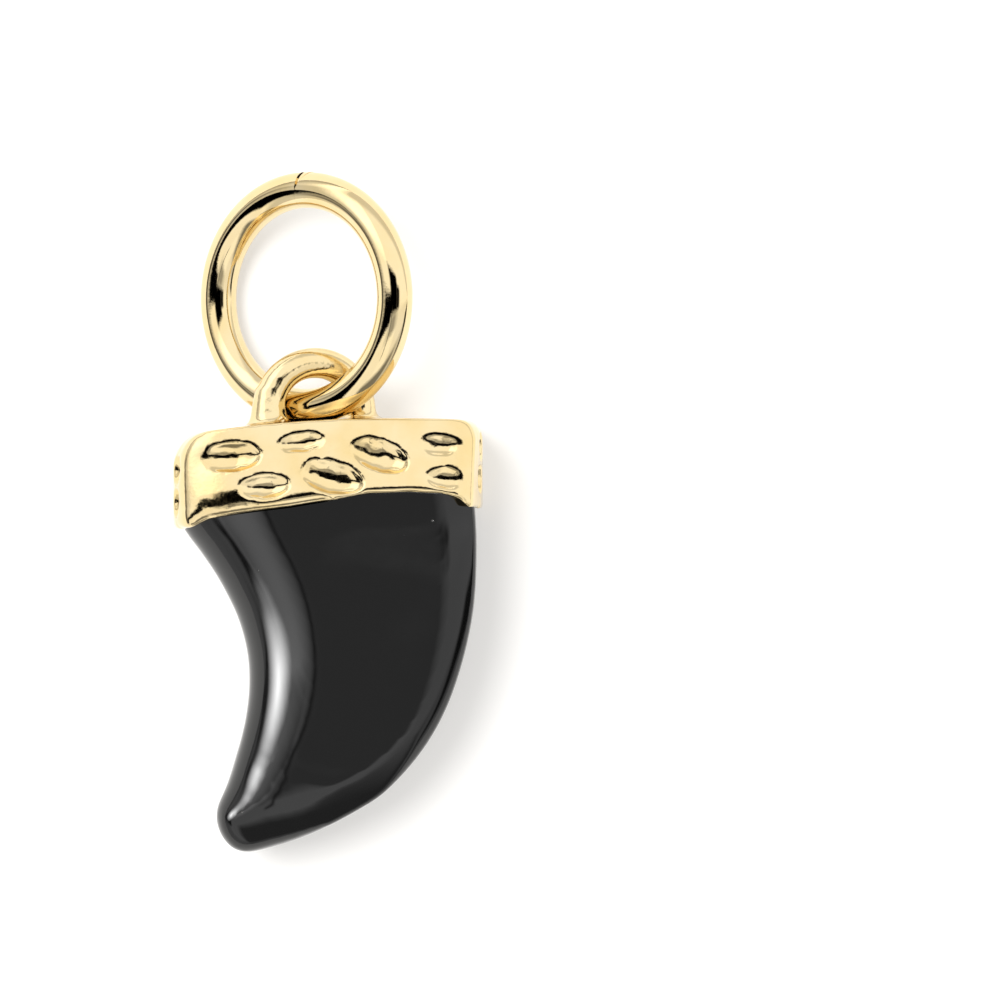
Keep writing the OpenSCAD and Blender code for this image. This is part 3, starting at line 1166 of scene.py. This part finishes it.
# %% Patches on the sky
def band(source, low, high, soft):
    """1 between two values and 0 outside, with soft edges."""
    rise = node(
        sky, "ShaderNodeMapRange", {"Value": source, "From Min": low - soft, "From Max": low + soft}
    )
    fall = node(
        sky, "ShaderNodeMapRange",
        {
            "Value": source, "From Min": high - soft, "From Max": high + soft,
            "To Min": 1.0, "To Max": 0.0,
        },
    )
    both = node(
        sky, "ShaderNodeMath", {0: rise.outputs["Result"], 1: fall.outputs["Result"]},
        operation="MULTIPLY",
    )
    return both.outputs[0]


def patch(x_low, x_high, y_low, y_high, soft_x, soft_y):
    """A soft-edged rectangle on the sky, in degrees from straight above."""
    between_sides = band(across, x_low, x_high, soft_x)
    between_ends = band(along, y_low, y_high, soft_y)
    return node(
        sky, "ShaderNodeMath", {0: between_sides, 1: between_ends}, operation="MULTIPLY"
    ).outputs[0]


def blend(light, part, value):
    """Replaces light by a value where part is 1."""
    rest = node(sky, "ShaderNodeMath", {0: 1.0, 1: part}, operation="SUBTRACT").outputs[0]
    kept = node(sky, "ShaderNodeMath", {0: light, 1: rest}, operation="MULTIPLY").outputs[0]
    added = node(sky, "ShaderNodeMath", {0: part, 1: value}, operation="MULTIPLY").outputs[0]
    return node(sky, "ShaderNodeMath", {0: kept, 1: added}, operation="ADD").outputs[0]


# Each patch: across from and to, along from and to, softness across and along, brightness.
SKY = [
    # A bright soft box on the upper left.
    (-70, -24, 19, 110, 4, 6, 1.9),
    # The wall beyond the jump ring.
    (-50, 110, 62, 115, 10, 6, 0.85),
    # A soft box low on the right.
    (40, 110, -8, 48, 5, 8, 1.3),
    # The lower right, and less bright nearer its horizon.
    (22, 115, -115, -8, 6, 4, 1.1),
    (30, 115, -115, -46, 8, 6, 0.75),
    # A soft box on the lower left.
    (-50, -14, -75, -13, 5, 2, 1.2),
    # A grey strip just below the camera, which the flat of the enamel mirrors.
    (-18, 20, -22, -8, 12, 3, 0.42),
    # The wall on the left, and its dark foot.
    (-115, -62, -110, 62, 6, 8, 0.8),
    (-130, -76, -66, 54, 4, 8, 0.12),
    # A black screen on the left, which gives the jump ring its dark bands.
    (-74, -54, -57, 1, 2, 3, 0.0),
    # The dark room beyond the claw's tip, and its corner on the right.
    (-30, 58, -84, -52, 6, 5, 0.25),
    (75, 90, -80, -36, 3, 5, 0.03),
    # The black camera straight above, and its arm to the left and right.
    (-62, -18, -12, 3, 3, 1.5, 0.0),
    (-24, 18, -8, 16, 4, 2, 0.0),
    (14, 31, -8, 9, 4, 2, 0.0),
    # A thin dark rod below the camera.
    (-12, -9, -34, -6, 1.5, 3, 0.1),
]
# The sky before the patches: brightness at the horizon and higher up, and the heights of the two.
HORIZON = 0.35
OVERHEAD = 1.28
HORIZON_Z = -0.02
OVERHEAD_Z = 0.30

light = node(
    sky, "ShaderNodeMapRange",
    {
        "Value": parts.outputs["Z"], "From Min": HORIZON_Z, "From Max": OVERHEAD_Z,
        "To Min": HORIZON, "To Max": OVERHEAD,
    },
).outputs["Result"]
for *rectangle, brightness in SKY:
    light = blend(light, patch(*rectangle), brightness)
background = node(sky, "ShaderNodeBackground", {"Color": (1, 1, 1, 1), "Strength": light})
node(sky, "ShaderNodeOutputWorld", {"Surface": background.outputs[0]})
print("patches on the sky:", len(SKY))

# %% [markdown]
# ## Lamps on the enamel
# Two round area lamps stand on the left. The strong one is behind a diffuser and draws the soft highlight
# along the claw's shoulder, the weak one fills the dark beside it. Painted on the sky they would show in
# the gold as well, so they are lamps that light the enamel alone. Both are brightest in their middle.

# %% A round lamp with a soft edge
LAMP_AIM = (-1.5, -3.9, 3.8)
LAMP_AWAY = 40


def soft_disc(name, towards, radius, power, fade):
    """A round area lamp that is brightest in its middle."""
    away = mathutils.Vector(towards).normalized()
    deselect()
    bpy.ops.object.light_add(
        type="AREA", location=(mathutils.Vector(LAMP_AIM) + away * LAMP_AWAY) * MM,
        rotation=away.to_track_quat("Z", "Y").to_euler(),
    )
    lamp = bpy.context.object
    lamp.name = name
    lamp.data.shape = "DISK"
    lamp.data.size = 2 * radius * MM
    lamp.data.energy = power
    lamp.data.use_nodes = True
    tree = lamp.data.node_tree
    tree.nodes.clear()
    spot = node(tree, "ShaderNodeNewGeometry").outputs["Parametric"]
    middle = node(tree, "ShaderNodeVectorMath", {0: spot, 1: (0.5, 0.5, 0)}, operation="DISTANCE")
    inward = node(
        tree, "ShaderNodeMapRange",
        {
            "Value": middle.outputs["Value"], "From Min": 0.0, "From Max": 0.5,
            "To Min": 1.0, "To Max": 0.0,
        },
    )
    falloff = node(tree, "ShaderNodeMath", {0: inward.outputs["Result"], 1: fade}, operation="POWER")
    glow = node(tree, "ShaderNodeEmission", {"Strength": falloff.outputs[0]})
    node(tree, "ShaderNodeOutputLight", {"Surface": glow.outputs[0]})
    return lamp


print("the lamps stand", LAMP_AWAY, "mm away")

# %% Light the enamel alone
# Each lamp: name, where it stands as seen from the claw, radius, power, how fast it fades outwards.
ENAMEL_LAMPS = [
    ("diffused lamp", (-1.73, -0.26, 1.0), 16, 0.068, 1.4),
    ("fill lamp", (-0.75, -0.10, 1.0), 19, 0.0065, 0.8),
]


def light_only(light_object, receiver, name):
    """Lets a light reach one object alone."""
    group = bpy.data.collections.new(name)
    group.objects.link(receiver)
    light_object.light_linking.receiver_collection = group


for lamp_settings in ENAMEL_LAMPS:
    light_only(soft_disc(*lamp_settings), claw, "lit by the " + lamp_settings[0])
    print(lamp_settings[0], "lights", claw.name)

# %% [markdown]
# ## Lamp on the paper
# A broad soft lamp on the upper left whitens the paper, and leaves a narrow shadow on the right of the
# pendant. A sun lamp lights all of the paper evenly. It lights the paper alone, because in the gold it
# would be a glaring spot.

# %% Light the paper alone
PAPER_LAMP_FROM = (-1.0, 0.5, 2.5)
PAPER_LAMP_POWER = 3.5
PAPER_LAMP_SPREAD = 30

deselect()
bpy.ops.object.light_add(
    type="SUN", location=(-0.1, 0.05, 0.25),
    rotation=mathutils.Vector(PAPER_LAMP_FROM).to_track_quat("Z", "Y").to_euler(),
)
paper_lamp = bpy.context.object
paper_lamp.name = "paper lamp"
paper_lamp.data.energy = PAPER_LAMP_POWER
paper_lamp.data.angle = math.radians(PAPER_LAMP_SPREAD)
light_only(paper_lamp, floor, "lit by the paper lamp")
print(paper_lamp.name, "lights", floor.name)

# %% [markdown]
# The view transform is Standard, which shows a colour as it is written. A filmic one would dull the white
# of the paper and the bright gold.

# %% Show the colours as they are
scene = bpy.context.scene
scene.view_settings.view_transform = "Standard"
scene.view_settings.look = "None"
scene.view_settings.exposure = 0.0
print("view transform:", scene.view_settings.view_transform)
